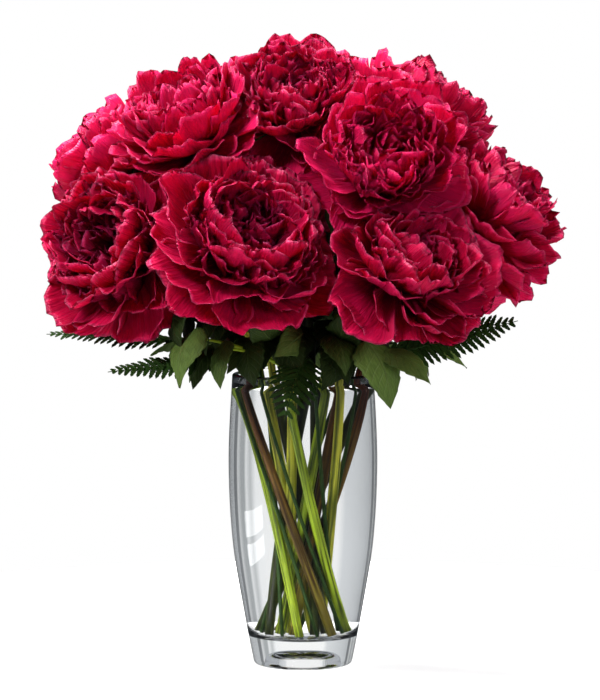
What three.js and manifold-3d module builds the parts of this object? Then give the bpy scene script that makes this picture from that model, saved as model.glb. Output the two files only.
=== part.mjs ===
// Crimson double peonies and leatherleaf fern standing in a heavy clear glass vase.
// Millimetres, +Z up. The origin is on the surface that the vase stands on, at the vase's axis.
// The front of the bunch faces -Y, and +X is to its right.
import * as THREE from 'three';
import { mergeVertices } from 'three/addons/utils/BufferGeometryUtils.js';
import Module from 'manifold-3d';

const wasm = await Module();
wasm.setup();

// Driving dimensions of the vase
const VASE_HEIGHT = 228;
const VASE_WALL = 4.6;
const VASE_SIDES = 24;
const FOOT_RADIUS = 38;
const HOLLOW_RADIUS = 20;
const HOLLOW_DEPTH = 14;
const FLOOR_HEIGHT = 22;
const WATER_LEVEL = 220;
const GAP = 0.4;

// Driving dimensions of the bunch
const STEM_RADIUS = 3.2;
const STALK_RADIUS = 1.3;
const STEM_SIDES = 6;
const FOOT_LIFT = 2.4;
const WAIST_HEIGHT = 92;
const RIM_HEIGHT = 232;
const OUTER_RING = { waist: 15, rim: 45.5, turn: -1 };
const INNER_RING = { waist: 7.2, rim: 25, turn: 1 };
const PETAL_THICKNESS = 1.5;
const LEAF_THICKNESS = 1.2;
const FROND_THICKNESS = 0.9;

// The blooms: centre of the head, the way it faces (azimuth from +X, elevation), radius of the head,
// and where its stem passes the rim
const BLOOMS = [
  {
    name: 'front_left', centre: [-38, -92, 334], faces: [-72, 34], radius: 76,
    ring: OUTER_RING, rimAt: -108, seed: 11,
  },
  {
    name: 'front_right', centre: [80, -82, 318], faces: [-58, 34], radius: 70,
    ring: OUTER_RING, rimAt: -52, seed: 12,
  },
  {
    name: 'left', centre: [-140, -42, 328], faces: [-126, 16], radius: 70,
    ring: OUTER_RING, rimAt: -165, seed: 13,
  },
  {
    name: 'right', centre: [144, -12, 352], faces: [-22, 44], radius: 68,
    ring: OUTER_RING, rimAt: -8, seed: 14,
  },
  {
    name: 'back_right', centre: [104, 80, 334], faces: [38, 16], radius: 78,
    ring: OUTER_RING, rimAt: 35, seed: 15,
  },
  {
    name: 'back_middle', centre: [0, 96, 326], faces: [88, 14], radius: 76,
    ring: OUTER_RING, rimAt: 85, seed: 16,
  },
  {
    name: 'back_left', centre: [-104, 84, 332], faces: [142, 14], radius: 78,
    ring: OUTER_RING, rimAt: 140, seed: 17,
  },
  {
    name: 'top', centre: [-6, -24, 434], faces: [-92, 46], radius: 66,
    ring: INNER_RING, rimAt: -106, seed: 18,
  },
  {
    name: 'upper_right', centre: [60, -60, 388], faces: [-84, 30], radius: 72,
    ring: INNER_RING, rimAt: -46, seed: 19,
  },
  {
    name: 'upper_left', centre: [-86, -26, 416], faces: [-130, 58], radius: 70,
    ring: INNER_RING, rimAt: -166, seed: 20,
  },
  {
    name: 'far_left', centre: [-146, 34, 388], faces: [168, 34], radius: 65,
    ring: INNER_RING, rimAt: 134, seed: 21,
  },
  {
    name: 'far_right', centre: [92, 30, 420], faces: [-4, 52], radius: 71,
    ring: INNER_RING, rimAt: 14, seed: 22,
  },
  {
    name: 'back_top', centre: [-38, 48, 416], faces: [104, 50], radius: 74,
    ring: INNER_RING, rimAt: 74, seed: 23,
  },
];

// Petal layers from the outside in. Lengths and widths are shares of the head's radius; leans are degrees
// from the head's axis at the root, the middle and the tip.
const LAYERS = [
  {
    count: 5, length: 0.97, width: 0.66, lean: [86, 102, 82],
    root: 0.05, columns: 3, rows: 3, turn: 0, slant: 0.1,
  },
  {
    count: 5, length: 1.02, width: 0.62, lean: [72, 82, 34],
    root: 0.08, columns: 3, rows: 3, turn: 0.5, slant: 0.1,
  },
  {
    count: 4, length: 1, width: 0.56, lean: [54, 58, 0],
    root: 0.11, columns: 2, rows: 3, turn: 0.2, slant: 0.08,
  },
  {
    count: 3, length: 0.84, width: 0.4, lean: [30, 26, -22],
    root: 0.14, columns: 2, rows: 2, turn: 0.6, slant: 0.04,
  },
];
const HEAD_CENTRE = 0.3;
const CORE_RADIUS = 0.15;
const CORE_HEIGHT = 0.12;
const CORE_STRETCH = 1.1;
const CORE_SIDES = 5;

// Leaflets grow on the stem named, from the stem's height at the rim: base, tip and half width
const LEAFLETS = [
  { on: 'front_left', base: [-74, -66, 262], tip: [-97, -84, 216], width: 19 },
  { on: 'front_left', base: [-58, -66, 258], tip: [-62, -84, 222], width: 12 },
  { on: 'front_right', base: [46, -66, 254], tip: [66, -82, 204], width: 19 },
  { on: 'front_right', base: [62, -66, 250], tip: [96, -86, 226], width: 13 },
  { on: 'left', base: [-80, -40, 252], tip: [-116, -62, 246], width: 13 },
  { on: 'top', base: [2, -50, 264], tip: [-22, -80, 246], width: 14 },
  { on: 'upper_right', base: [22, -56, 262], tip: [32, -86, 232], width: 14 },
  { on: 'right', base: [82, -6, 252], tip: [128, -4, 232], width: 15 },
  { on: 'right', base: [78, 8, 250], tip: [100, 36, 222], width: 14 },
  { on: 'back_right', base: [64, 52, 252], tip: [92, 78, 216], width: 17 },
  { on: 'back_middle', base: [8, 80, 252], tip: [22, 108, 216], width: 17 },
  { on: 'back_middle', base: [-10, 76, 250], tip: [-34, 96, 224], width: 13 },
  { on: 'back_left', base: [-64, 56, 252], tip: [-92, 78, 214], width: 18 },
];

// Fern fronds: where the stalk passes the rim, where the blade starts, its bend and its tip, half its width,
// and the way its upper side faces
const FRONDS = [
  {
    name: 'right', rimAt: -30, start: [66, -30, 244], bend: [110, -40, 256],
    tip: [164, -52, 272], width: 21, face: [0.1, -0.8, 0.6],
  },
  {
    name: 'left', rimAt: 168, start: [-74, 12, 248], bend: [-140, 14, 258],
    tip: [-201, 6, 258], width: 20, face: [0, -0.35, 1],
  },
  {
    name: 'front_left', rimAt: -138, start: [-66, -46, 240], bend: [-106, -50, 238],
    tip: [-148, -68, 234], width: 15, face: [0, -0.6, 0.8],
  },
  {
    name: 'front', rimAt: -80, start: [2, -62, 242], bend: [-4, -80, 238],
    tip: [-14, -92, 200], width: 24, face: [0, -0.6, 0.8],
  },
  {
    name: 'back_right', rimAt: 60, start: [40, 66, 242], bend: [66, 104, 246],
    tip: [84, 140, 232], width: 20, face: [0, 0, 1],
  },
  {
    name: 'back_left', rimAt: 112, start: [-28, 68, 242], bend: [-66, 100, 250],
    tip: [-98, 130, 240], width: 20, face: [0, 0, 1],
  },
];
const PINNAE = 8;

const material = (color, roughness, metalness = 0) =>
  new THREE.MeshStandardMaterial({ color, roughness, metalness });
const GLASS = new THREE.MeshStandardMaterial({
  color: 0xe6eef0,
  roughness: 0.03,
  transparent: true,
  opacity: 0.3,
});
const WATER = new THREE.MeshStandardMaterial({
  color: 0xdfeaea,
  roughness: 0.02,
  transparent: true,
  opacity: 0.25,
});
const PETAL = material(0x9c0634, 0.55);
const STEM = material(0x6f8a22, 0.5);
const FERN = material(0x1f4a1a, 0.5);

// A seeded random number generator, so that every build is the same
function randomFrom(seed) {
  let state = seed;
  return () => {
    state = (state + 0x6d2b79f5) | 0;
    let t = Math.imul(state ^ (state >>> 15), 1 | state);
    t = (t + Math.imul(t ^ (t >>> 7), 61 | t)) ^ t;
    return ((t ^ (t >>> 14)) >>> 0) / 4294967296;
  };
}

const radians = THREE.MathUtils.degToRad;
const vector = (list) => new THREE.Vector3(...list);

// A closed geometry as a solid
function solidOf(geometry) {
  const bare = geometry.clone();
  bare.deleteAttribute('normal');
  bare.deleteAttribute('uv');
  const merged = mergeVertices(bare, 1e-4);
  return new wasm.Manifold(
    new wasm.Mesh({
      numProp: 3,
      vertProperties: merged.attributes.position.array,
      triVerts: new Uint32Array(merged.index.array),
    }),
  );
}

const joined = (solids) => solids.reduce((all, solid) => all.add(solid));

// A solid as a named mesh
function meshOf(solid, name, look) {
  const made = solid.getMesh();
  const positions = new Float32Array(made.numVert * 3);
  for (let i = 0; i < made.numVert; i++) {
    positions.set(made.vertProperties.subarray(i * made.numProp, i * made.numProp + 3), i * 3);
  }
  const geometry = new THREE.BufferGeometry();
  geometry.setAttribute('position', new THREE.BufferAttribute(positions, 3));
  geometry.setIndex(new THREE.BufferAttribute(new Uint32Array(made.triVerts), 1));
  geometry.computeVertexNormals();
  const mesh = new THREE.Mesh(geometry, look);
  mesh.name = name;
  return mesh;
}

// A thin blade over a grid of points: pointAt(s, t) with s from 0 to 1 along it and t from -1 to 1 across.
// Both faces are split alike, and they meet in a fine edge all round.
function blade(pointAt, columns, rows, thickness) {
  const grid = [];
  for (let i = 0; i <= rows; i++) {
    for (let j = 0; j <= columns; j++) grid.push(pointAt(i / rows, (2 * j) / columns - 1));
  }
  const at = (i, j) => grid[i * (columns + 1) + j];
  const positions = grid.flatMap((p) => p.toArray());
  const back = grid.map((_, k) => k);
  for (let i = 1; i < rows; i++) {
    for (let j = 1; j < columns; j++) {
      const across = at(i, j + 1).clone().sub(at(i, j - 1));
      const along = at(i + 1, j).clone().sub(at(i - 1, j));
      const offset = across.cross(along).normalize().multiplyScalar(thickness / 2);
      const k = i * (columns + 1) + j;
      back[k] = positions.length / 3;
      positions.push(...at(i, j).clone().sub(offset).toArray());
      positions.splice(k * 3, 3, ...at(i, j).clone().add(offset).toArray());
    }
  }
  const index = [];
  for (let i = 0; i < rows; i++) {
    for (let j = 0; j < columns; j++) {
      const a = i * (columns + 1) + j;
      const [b, c, d] = [a + 1, a + columns + 2, a + columns + 1];
      const rising = i < rows / 2 === j < columns / 2;
      const faces = rising ? [a, b, c, a, c, d] : [a, b, d, b, c, d];
      index.push(...faces);
      for (let k = 0; k < 6; k += 3) index.push(back[faces[k]], back[faces[k + 2]], back[faces[k + 1]]);
    }
  }
  const geometry = new THREE.BufferGeometry();
  geometry.setAttribute('position', new THREE.Float32BufferAttribute(positions, 3));
  geometry.setIndex(index);
  return geometry;
}

// A closed round tube along a curve, its radius set by the share of the way along
function tube(curve, steps, radiusAt, sides) {
  const frames = curve.computeFrenetFrames(steps, false);
  const positions = [];
  const index = [];
  for (let i = 0; i <= steps; i++) {
    const centre = curve.getPointAt(i / steps);
    for (let k = 0; k < sides; k++) {
      const angle = (2 * Math.PI * k) / sides;
      const radius = radiusAt(i / steps);
      centre
        .clone()
        .addScaledVector(frames.normals[i], radius * Math.cos(angle))
        .addScaledVector(frames.binormals[i], radius * Math.sin(angle))
        .toArray(positions, positions.length);
    }
  }
  for (let i = 0; i < steps; i++) {
    for (let k = 0; k < sides; k++) {
      const a = i * sides + k;
      const b = i * sides + ((k + 1) % sides);
      index.push(a, b, b + sides, a, b + sides, a + sides);
    }
  }
  const last = steps * sides;
  for (let k = 1; k < sides - 1; k++) index.push(0, k + 1, k, last, last + k, last + k + 1);
  const geometry = new THREE.BufferGeometry();
  geometry.setAttribute('position', new THREE.Float32BufferAttribute(positions, 3));
  geometry.setIndex(index);
  return geometry;
}

// A path of one long straight step in the vase, and then a curve in even steps
class StemPath extends THREE.Curve {
  constructor(foot, rim, handle, aim, top, steps) {
    super();
    this.straight = new THREE.LineCurve3(foot, rim);
    this.bent = new THREE.CubicBezierCurve3(rim, handle, aim, top);
    this.share = 1 / steps;
  }
  getPoint(t, target = new THREE.Vector3()) {
    if (t < this.share) return this.straight.getPoint(t / this.share, target);
    return this.bent.getPoint((t - this.share) / (1 - this.share), target);
  }
  getPointAt(u, target) {
    return this.getPoint(u, target);
  }
  getTangentAt(u, target) {
    return this.getTangent(u, target);
  }
}

// Vase: the outside is one smooth curve through these radii and heights
const OUTSIDE = new THREE.SplineCurve([
  new THREE.Vector2(39, 3),
  new THREE.Vector2(46.8, 43),
  new THREE.Vector2(55.4, 98),
  new THREE.Vector2(58.3, 160),
  new THREE.Vector2(55.4, 226),
]);

// The outside radius at a height
function outsideRadius(height) {
  const points = OUTSIDE.getPoints(60);
  const above = points.findIndex((p) => p.y >= height);
  if (above <= 0) return points[above === 0 ? 0 : points.length - 1].x;
  const [low, high] = [points[above - 1], points[above]];
  return THREE.MathUtils.mapLinear(height, low.y, high.y, low.x, high.x);
}

// A closed profile turned about the vase's axis
const turned = (profile) => solidOf(new THREE.LatheGeometry(profile, VASE_SIDES).rotateX(Math.PI / 2));

// The inside wall from the floor up to a height, drawn in by inset
function insideProfile(top, inset) {
  const points = [new THREE.Vector2(0, FLOOR_HEIGHT + inset)];
  const corner = new THREE.QuadraticBezierCurve(
    new THREE.Vector2(24, FLOOR_HEIGHT + inset),
    new THREE.Vector2(40 - inset, FLOOR_HEIGHT + inset),
    new THREE.Vector2(outsideRadius(44) - VASE_WALL - inset - 1, 44),
  );
  points.push(...corner.getPoints(3));
  const wallHeights = [80, 125, 170].filter((h) => h < top - 10);
  for (const h of [...wallHeights, top]) {
    points.push(new THREE.Vector2(outsideRadius(h) - VASE_WALL - inset, h));
  }
  return points;
}

function vase() {
  const lipTop = new THREE.Vector2(outsideRadius(226) - VASE_WALL / 2, VASE_HEIGHT);
  const profile = [
    new THREE.Vector2(0, HOLLOW_DEPTH),
    new THREE.Vector2(HOLLOW_RADIUS * 0.6, HOLLOW_DEPTH * 0.9),
    new THREE.Vector2(HOLLOW_RADIUS * 0.9, HOLLOW_DEPTH * 0.5),
    new THREE.Vector2(HOLLOW_RADIUS, 0),
    new THREE.Vector2(FOOT_RADIUS, 0),
    ...OUTSIDE.getPoints(6),
    lipTop,
    ...insideProfile(226, 0).reverse(),
  ];
  return turned(profile);
}

// A line of the spiral-tied bunch: its point at a height, from where it passes the rim. The outer ring leans
// the other way round from the inner one, so that the stems cross.
function lineAt(ring, rimAt, height) {
  const rise = RIM_HEIGHT - WAIST_HEIGHT;
  const slope = Math.sqrt(ring.rim ** 2 - ring.waist ** 2) / rise;
  const angle = radians(rimAt) - ring.turn * Math.atan2(slope * rise, ring.waist);
  const drift = ring.turn * slope * (height - WAIST_HEIGHT);
  return new THREE.Vector3(
    ring.waist * Math.cos(angle) - drift * Math.sin(angle),
    ring.waist * Math.sin(angle) + drift * Math.cos(angle),
    height,
  );
}

// The head's own frame: z along the way it faces, x level
function headFrame(bloom) {
  const [azimuth, elevation] = bloom.faces.map(radians);
  const axis = new THREE.Vector3(
    Math.cos(azimuth) * Math.cos(elevation),
    Math.sin(azimuth) * Math.cos(elevation),
    Math.sin(elevation),
  );
  const level = new THREE.Vector3(-Math.sin(azimuth), Math.cos(azimuth), 0);
  const up = axis.clone().cross(level);
  const root = vector(bloom.centre).addScaledVector(axis, -HEAD_CENTRE * bloom.radius);
  return { axis, root, matrix: new THREE.Matrix4().makeBasis(level, up, axis).setPosition(root) };
}

// Heads share out the room: each is drawn in towards its centre where a neighbour or a neighbour's stem is
// near, so that all its petals stay on its own side of the planes between them
const HEAD_MARGIN = 1;
const STEM_MARGIN = 5.5;
const HEAD_REACH = 1.02;
function wallsOf(bloom) {
  const own = vector(bloom.centre);
  const walls = [];
  for (const other of BLOOMS.filter((b) => b !== bloom)) {
    const towards = vector(other.centre).sub(own);
    const apart = towards.length();
    const share = (apart ** 2 + bloom.radius ** 2 - other.radius ** 2) / (2 * apart);
    walls.push({ normal: towards.normalize(), distance: share - HEAD_MARGIN });
    const path = stemPath(other);
    const points = path.getPoints(24 * (CURVE_STEPS + 1));
    const nearest = points.reduce((best, p) => (p.distanceTo(own) < best.distanceTo(own) ? p : best));
    const clear = nearest.distanceTo(own) - STEM_MARGIN;
    walls.push({ normal: nearest.clone().sub(own).normalize(), distance: clear });
  }
  return walls.filter((wall) => wall.distance < HEAD_REACH * bloom.radius);
}

function drawnIn(point, bloom, walls) {
  const own = vector(bloom.centre);
  const ray = point.clone().sub(own);
  const direction = ray.clone().normalize();
  const reach = HEAD_REACH * bloom.radius;
  let sum = 1;
  for (const wall of walls) {
    const facing = direction.dot(wall.normal);
    if (facing > 0) sum += ((facing * reach) / wall.distance) ** 8;
  }
  return own.addScaledVector(ray, sum ** (-1 / 8));
}

// One petal in the head's frame, in shares of its radius: a midline that leans by the layer's three angles,
// round at the top, cupped across, with one edge outside its neighbour and the other inside
function petalPoint(layer, petal, share, t) {
  const s = share * (1 - petal.rounding * Math.abs(t) ** 2.6);
  const [first, second, third] = petal.lean;
  const leanAt = (u) => (1 - u) ** 2 * first + 2 * u * (1 - u) * second + u ** 2 * third;
  let out = 0.05;
  let up = layer.root;
  const parts = 12;
  for (let k = 0; k < parts; k++) {
    const lean = leanAt((s * (k + 0.5)) / parts);
    out += (Math.sin(lean) * layer.length * s) / parts;
    up += (Math.cos(lean) * layer.length * s) / parts;
  }
  const lean = leanAt(s);
  const widest = layer.width * Math.sin((Math.PI / 2) * Math.min(1, s / 0.6));
  const sector = 1.12 * Math.tan(Math.PI / layer.count) * out;
  const half = Math.min(widest, sector);
  const bend = Math.max(out, 0.2);
  const around = (t * half) / bend;
  const inward = bend * (1 - Math.cos(around)) - layer.slant * t * s;
  const reach = out - inward * Math.cos(lean);
  const height = up + inward * Math.sin(lean);
  const side = bend * Math.sin(around);
  const [c, n] = [Math.cos(petal.around), Math.sin(petal.around)];
  return new THREE.Vector3(reach * c - side * n, reach * n + side * c, height);
}

// A head: petals in their layers round a small core, which their roots are sunk in
function bloomHead(bloom) {
  const random = randomFrom(bloom.seed);
  const { matrix } = headFrame(bloom);
  const walls = wallsOf(bloom);
  const core = new THREE.SphereGeometry(CORE_RADIUS * bloom.radius, CORE_SIDES, 3);
  core.rotateX(Math.PI / 2).scale(1, 1, CORE_STRETCH).translate(0, 0, CORE_HEIGHT * bloom.radius);
  const solids = [solidOf(core.applyMatrix4(matrix))];
  for (const layer of LAYERS) {
    for (let k = 0; k < layer.count; k++) {
      const tilt = radians(4 * (random() - 0.5));
      const petal = {
        around: (2 * Math.PI * (k + layer.turn + 0.1 * (random() - 0.5))) / layer.count,
        lean: layer.lean.map((angle) => radians(angle) + tilt),
        rounding: 0.18 + 0.1 * random(),
      };
      const pointAt = (s, t) => {
        const point = petalPoint(layer, petal, s, t).multiplyScalar(bloom.radius).applyMatrix4(matrix);
        return drawnIn(point, bloom, walls);
      };
      solids.push(solidOf(blade(pointAt, layer.columns, layer.rows, PETAL_THICKNESS)));
    }
  }
  return joined(solids);
}

// The stem of a bloom, from the vase's floor to the underside of the head's core
const CURVE_STEPS = 7;
const CALYX_RADIUS = 6;
function stemPath(bloom) {
  const { axis, root } = headFrame(bloom);
  const below = CORE_HEIGHT - CORE_RADIUS * CORE_STRETCH;
  const tip = root.clone().addScaledVector(axis, bloom.radius * below - GAP);
  const foot = lineAt(bloom.ring, bloom.rimAt, FLOOR_HEIGHT + FOOT_LIFT);
  const rim = lineAt(bloom.ring, bloom.rimAt, RIM_HEIGHT + 4);
  const rise = rim.clone().sub(foot).normalize();
  const reach = rim.distanceTo(tip);
  const handle = rim.clone().addScaledVector(rise, reach * 0.4);
  const aim = tip.clone().addScaledVector(axis, -reach * 0.4);
  return new StemPath(foot, rim, handle, aim, tip, CURVE_STEPS + 1);
}

function stem(bloom) {
  const radiusAt = (u) => (u > 0.99 ? CALYX_RADIUS : STEM_RADIUS);
  const path = stemPath(bloom);
  const solids = [solidOf(tube(path, CURVE_STEPS + 1, radiusAt, STEM_SIDES))];
  for (const leaflet of LEAFLETS.filter((l) => l.on === bloom.name)) {
    solids.push(...leafOn(path, leaflet));
  }
  return joined(solids);
}

// A leaflet with its stalk, which starts inside the stem
function leafOn(path, leaflet) {
  const [base, tip] = [vector(leaflet.base), vector(leaflet.tip)];
  const start = path.getPointAt(1.3 / (CURVE_STEPS + 1));
  const along = tip.clone().sub(base);
  const outward = new THREE.Vector3(base.x, base.y, 0).normalize();
  const across = along.clone().cross(outward).normalize();
  const face = across.clone().cross(along).normalize();
  const pointAt = (s, t) => {
    const half = leaflet.width * Math.sin(Math.PI * s ** 0.8) ** 0.8 + 0.6 * (1 - s);
    const fold = -0.22 * half * Math.abs(t);
    const arch = along.length() * 0.16 * Math.sin(Math.PI * s);
    return base
      .clone()
      .addScaledVector(along, s)
      .addScaledVector(across, half * t)
      .addScaledVector(face, arch + fold);
  };
  const middle = start.clone().lerp(base, 0.5).addScaledVector(new THREE.Vector3(0, 0, 1), 4);
  const stalk = new THREE.QuadraticBezierCurve3(start, middle, pointAt(0.2, 0));
  return [
    solidOf(tube(stalk, 2, () => STALK_RADIUS, 4)),
    solidOf(blade(pointAt, 4, 3, LEAF_THICKNESS)),
  ];
}

// The path of a fern's stalk in the vase and over its rim
function frondStalk(frond) {
  const foot = lineAt(OUTER_RING, frond.rimAt, FLOOR_HEIGHT + FOOT_LIFT);
  const rim = lineAt(OUTER_RING, frond.rimAt, RIM_HEIGHT);
  const rise = rim.clone().sub(foot).normalize();
  const start = vector(frond.start);
  const bend = vector(frond.bend);
  const aim = start.clone().addScaledVector(bend.sub(start).normalize(), -10);
  return new StemPath(foot, rim, rim.clone().addScaledVector(rise, 10), aim, start, 5);
}

// A frond: one thin arched blade cut to its rib into pinnae, with its stalk
function fernFrond(frond) {
  const arch = new THREE.QuadraticBezierCurve3(vector(frond.start), vector(frond.bend), vector(frond.tip));
  const length = arch.getLength();
  const outline = new THREE.Shape();
  const side = [];
  for (let k = 0; k < PINNAE; k++) {
    const from = k / PINNAE;
    const reach = frond.width * Math.sin(Math.PI * (0.22 + 0.74 * from)) ** 0.9;
    side.push([from, 1.2], [from + 0.05, reach * 0.62], [from + 0.13, reach]);
  }
  outline.moveTo(-0.03, -1.2);
  for (const [x, y] of side) outline.lineTo(x, -y);
  outline.lineTo(1, 0);
  for (const [x, y] of side.reverse()) outline.lineTo(x, y);
  outline.lineTo(-0.03, 1.2);
  const geometry = new THREE.ExtrudeGeometry(outline, { depth: 1, bevelEnabled: false });
  const positions = geometry.attributes.position;
  const level = vector(frond.face);
  for (let i = 0; i < positions.count; i++) {
    const [x, y, z] = [positions.getX(i), positions.getY(i), positions.getZ(i)];
    const u = THREE.MathUtils.clamp(x, 0, 1);
    const tangent = arch.getTangent(u);
    const across = level.clone().cross(tangent).normalize();
    const face = tangent.clone().cross(across);
    arch
      .getPoint(u)
      .addScaledVector(tangent, (x - u) * length)
      .addScaledVector(across, y)
      .addScaledVector(face, (z - 0.5) * FROND_THICKNESS - 0.006 * y * y)
      .toArray(positions.array, i * 3);
  }
  const stalk = tube(frondStalk(frond), 5, () => STALK_RADIUS, 5);
  return solidOf(geometry).add(solidOf(stalk));
}

// Water: the inside of the vase, with a plain hole for each stem and stalk
function water() {
  const profile = [...insideProfile(WATER_LEVEL, GAP), new THREE.Vector2(0, WATER_LEVEL)];
  let body = turned(profile);
  const holes = [
    ...BLOOMS.map((bloom) => [bloom.ring, bloom.rimAt, STEM_RADIUS]),
    ...FRONDS.map((frond) => [OUTER_RING, frond.rimAt, STALK_RADIUS]),
  ];
  for (const [ring, rimAt, radius] of holes) {
    const line = new THREE.LineCurve3(lineAt(ring, rimAt, 0), lineAt(ring, rimAt, RIM_HEIGHT + 10));
    body = body.subtract(solidOf(tube(line, 1, () => radius / Math.cos(Math.PI / 6) + GAP, 6)));
  }
  return body;
}

const bunch = new THREE.Group();
bunch.add(meshOf(vase(), 'vase', GLASS));
bunch.add(meshOf(water(), 'water', WATER));
for (const bloom of BLOOMS) {
  bunch.add(meshOf(stem(bloom), 'stem_' + bloom.name, STEM));
  bunch.add(meshOf(bloomHead(bloom), 'bloom_' + bloom.name, PETAL));
}
for (const frond of FRONDS) bunch.add(meshOf(fernFrond(frond), 'fern_' + frond.name, FERN));

export default bunch;
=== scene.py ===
import math
from collections import namedtuple

import bmesh
import bpy
import numpy as np
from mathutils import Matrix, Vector


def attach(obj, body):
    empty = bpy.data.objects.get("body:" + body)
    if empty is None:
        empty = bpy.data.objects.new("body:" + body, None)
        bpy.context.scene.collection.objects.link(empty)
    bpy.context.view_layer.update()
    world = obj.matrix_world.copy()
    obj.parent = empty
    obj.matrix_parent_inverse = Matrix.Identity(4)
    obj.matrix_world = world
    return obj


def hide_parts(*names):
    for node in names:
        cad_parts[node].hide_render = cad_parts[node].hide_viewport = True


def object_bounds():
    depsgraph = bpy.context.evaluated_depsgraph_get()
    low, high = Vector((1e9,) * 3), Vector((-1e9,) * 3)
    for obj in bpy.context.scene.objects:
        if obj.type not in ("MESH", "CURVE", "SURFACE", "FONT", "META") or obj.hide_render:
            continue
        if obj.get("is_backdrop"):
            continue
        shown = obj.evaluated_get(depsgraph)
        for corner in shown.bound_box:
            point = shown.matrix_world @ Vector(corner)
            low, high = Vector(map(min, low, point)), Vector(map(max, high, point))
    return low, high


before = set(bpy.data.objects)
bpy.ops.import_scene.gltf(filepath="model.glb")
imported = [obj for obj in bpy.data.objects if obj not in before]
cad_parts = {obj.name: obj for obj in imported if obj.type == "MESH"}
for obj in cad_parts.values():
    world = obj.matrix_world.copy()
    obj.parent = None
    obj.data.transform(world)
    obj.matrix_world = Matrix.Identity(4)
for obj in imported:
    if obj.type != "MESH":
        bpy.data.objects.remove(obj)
cad_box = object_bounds()

# Peonies in a vase: the looks. Tables and shapes are in millimetres, in the CAD's own frame, and
# every mesh is scaled to metres as it is made. Lamps, the camera and the floor are in metres.
MM = 0.001

# The vase and its water, as in the CAD. The outer curve is pairs of radius and height.
VASE_HEIGHT = 228
VASE_WALL = 4.6
LIP_RISE = 2
LIP_START = VASE_HEIGHT - LIP_RISE
FOOT_RADIUS = 38
HOLLOW_RADIUS = 20
HOLLOW_DEPTH = 14
FLOOR_HEIGHT = 22
WATER_LEVEL = 220
OUTSIDE = [(39, 3), (46.8, 43), (55.4, 98), (58.3, 160), (55.4, LIP_START)]

# Inside, the floor is flat out to a radius, and a corner brings it near the wall, which it joins
# a little higher up
FLAT_RADIUS = 24
CORNER_RADIUS = 40
CORNER_TOP = 44
CORNER_EASE = 1
WALL_START = 52

# The water is sunk a little way into the glass, and rises to the wall at its edge
WATER_SUNK = 0.15
EDGE_RISE = 1.2
EDGE_WIDTH = 1.5

# Sides of what is turned, and points along its curves
LATHE_SIDES = 104
HOLLOW_POINTS = 18
OUTSIDE_POINTS = 60
LIP_POINTS = 11
FLAT_POINTS = 7
CORNER_POINTS = 14
WALL_POINTS = 30
SURFACE_POINTS = 24

# Points nearer each other than this, in metres, become one
WELD = 0.000002

# The bunch, as in the CAD. A ring is its radius at the waist and at the rim, and its turn.
STEM_RADIUS = 3.2
STALK_RADIUS = 1.3
FOOT_LIFT = 2.4
WAIST_HEIGHT = 92
RIM_HEIGHT = 232
OUTER = (15, 45.5, -1)
INNER = (7.2, 25, 1)
HEAD_CENTRE = 0.3
HEAD_REACH = 1.02
STEM_MARGIN = 5.5
CORE_RADIUS = 0.15
CORE_HEIGHT = 0.12
CORE_STRETCH = 1.1
TIP_GAP = 0.4

# Petals start out this much larger than the CAD's. Heads pass the middle between them by as much
# as the overlap, and the power says how sharply a wall stops them.
HEAD_GROWTH = 1.1
HEAD_OVERLAP = 4
WALL_POWER = 10

# A stem's points in its straight part and in its bend, and how far each end of the bend keeps its
# direction, as a share of the way between them
STRAIGHT_POINTS = 16
BENT_POINTS = 28
BEND_START = RIM_HEIGHT + 4
BEND_HANDLE = 0.4

# A stem's sides, its taper and its ripple as shares of its radius, the knot on it, placed and long
# by shares of its way, and its radius right under the bloom
STEM_SIDES = 12
STEM_TAPER = 0.12
STEM_RIPPLE = 0.04
KNOT_AT = 0.42
KNOT_LENGTH = 0.012
KNOT_RISE = 0.9
CALYX_RADIUS = 5.6

# Each bloom: centre, the way it faces (azimuth, elevation), radius, ring and place at the rim,
# seed, the share of full detail, how full its heart is, how far its inner petals open into a
# bowl, its painted glow (painted light that makes its petals pinker and its heart's painted shade
# lighter), how far its outer petals droop in degrees, and its stem's colour
Bloom = namedtuple(
    "Bloom",
    "centre faces radius ring rim_at seed detail fullness bowl glow droop stem_colour",
)
# The dark stem colour is a darker copy that paints shade on stems further back
BLOOMS = {name: Bloom(*row) for name, row in {
    "front_left": ((-38, -92, 334), (-72, 34), 76, OUTER, -108, 51, 1, 0.86, 1, 0.05, 4, "green"),
    "front_right": ((80, -82, 318), (-58, 34), 70, OUTER, -52, 332, 1, 0.86, 0.15, 0, 0, "lime"),
    "left": ((-140, -42, 328), (-126, 16), 70, OUTER, -165, 133, 1, 0.90, 0.85, -0.1, 16, "red"),
    "right": ((144, -12, 352), (-22, 44), 68, OUTER, -8, 214, 1, 1.18, 0, 0.25, 18, "red"),
    "back_right": ((104, 80, 334), (38, 16), 78, OUTER, 35, 15, 0.8, 0.95, 0.3, 0.3, 0, "dark"),
    "back_middle": ((0, 96, 326), (88, 14), 76, OUTER, 85, 16, 0.8, 0.90, 0.8, 0.2, 0, "dark"),
    "back_left": ((-104, 84, 332), (142, 14), 78, OUTER, 140, 17, 0.8, 0.95, 0.2, 0.3, 0, "green"),
    "top": ((-6, -24, 434), (-92, 46), 66, INNER, -106, 18, 1, 1.14, 0.1, 0.1, 0, "lime"),
    "upper_right": ((60, -60, 388), (-84, 30), 72, INNER, -46, 339, 1, 1.34, 0, 1, 0, "green"),
    "upper_left": ((-86, -26, 416), (-130, 58), 70, INNER, -166, 220, 1, 1.20, 0, 0.5, 0, "lime"),
    "far_left": ((-146, 34, 388), (168, 34), 65, INNER, 134, 221, 0.9, 1.10, 0, 0.6, 0, "dark"),
    "far_right": ((92, 30, 420), (-4, 52), 71, INNER, 14, 312, 1, 1.25, 0, 0.1, 0, "red"),
    "back_top": ((-38, 48, 416), (104, 50), 74, INNER, 74, 23, 0.8, 1.00, 0.4, 0.3, 0, "dark"),
}.items()}

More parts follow.
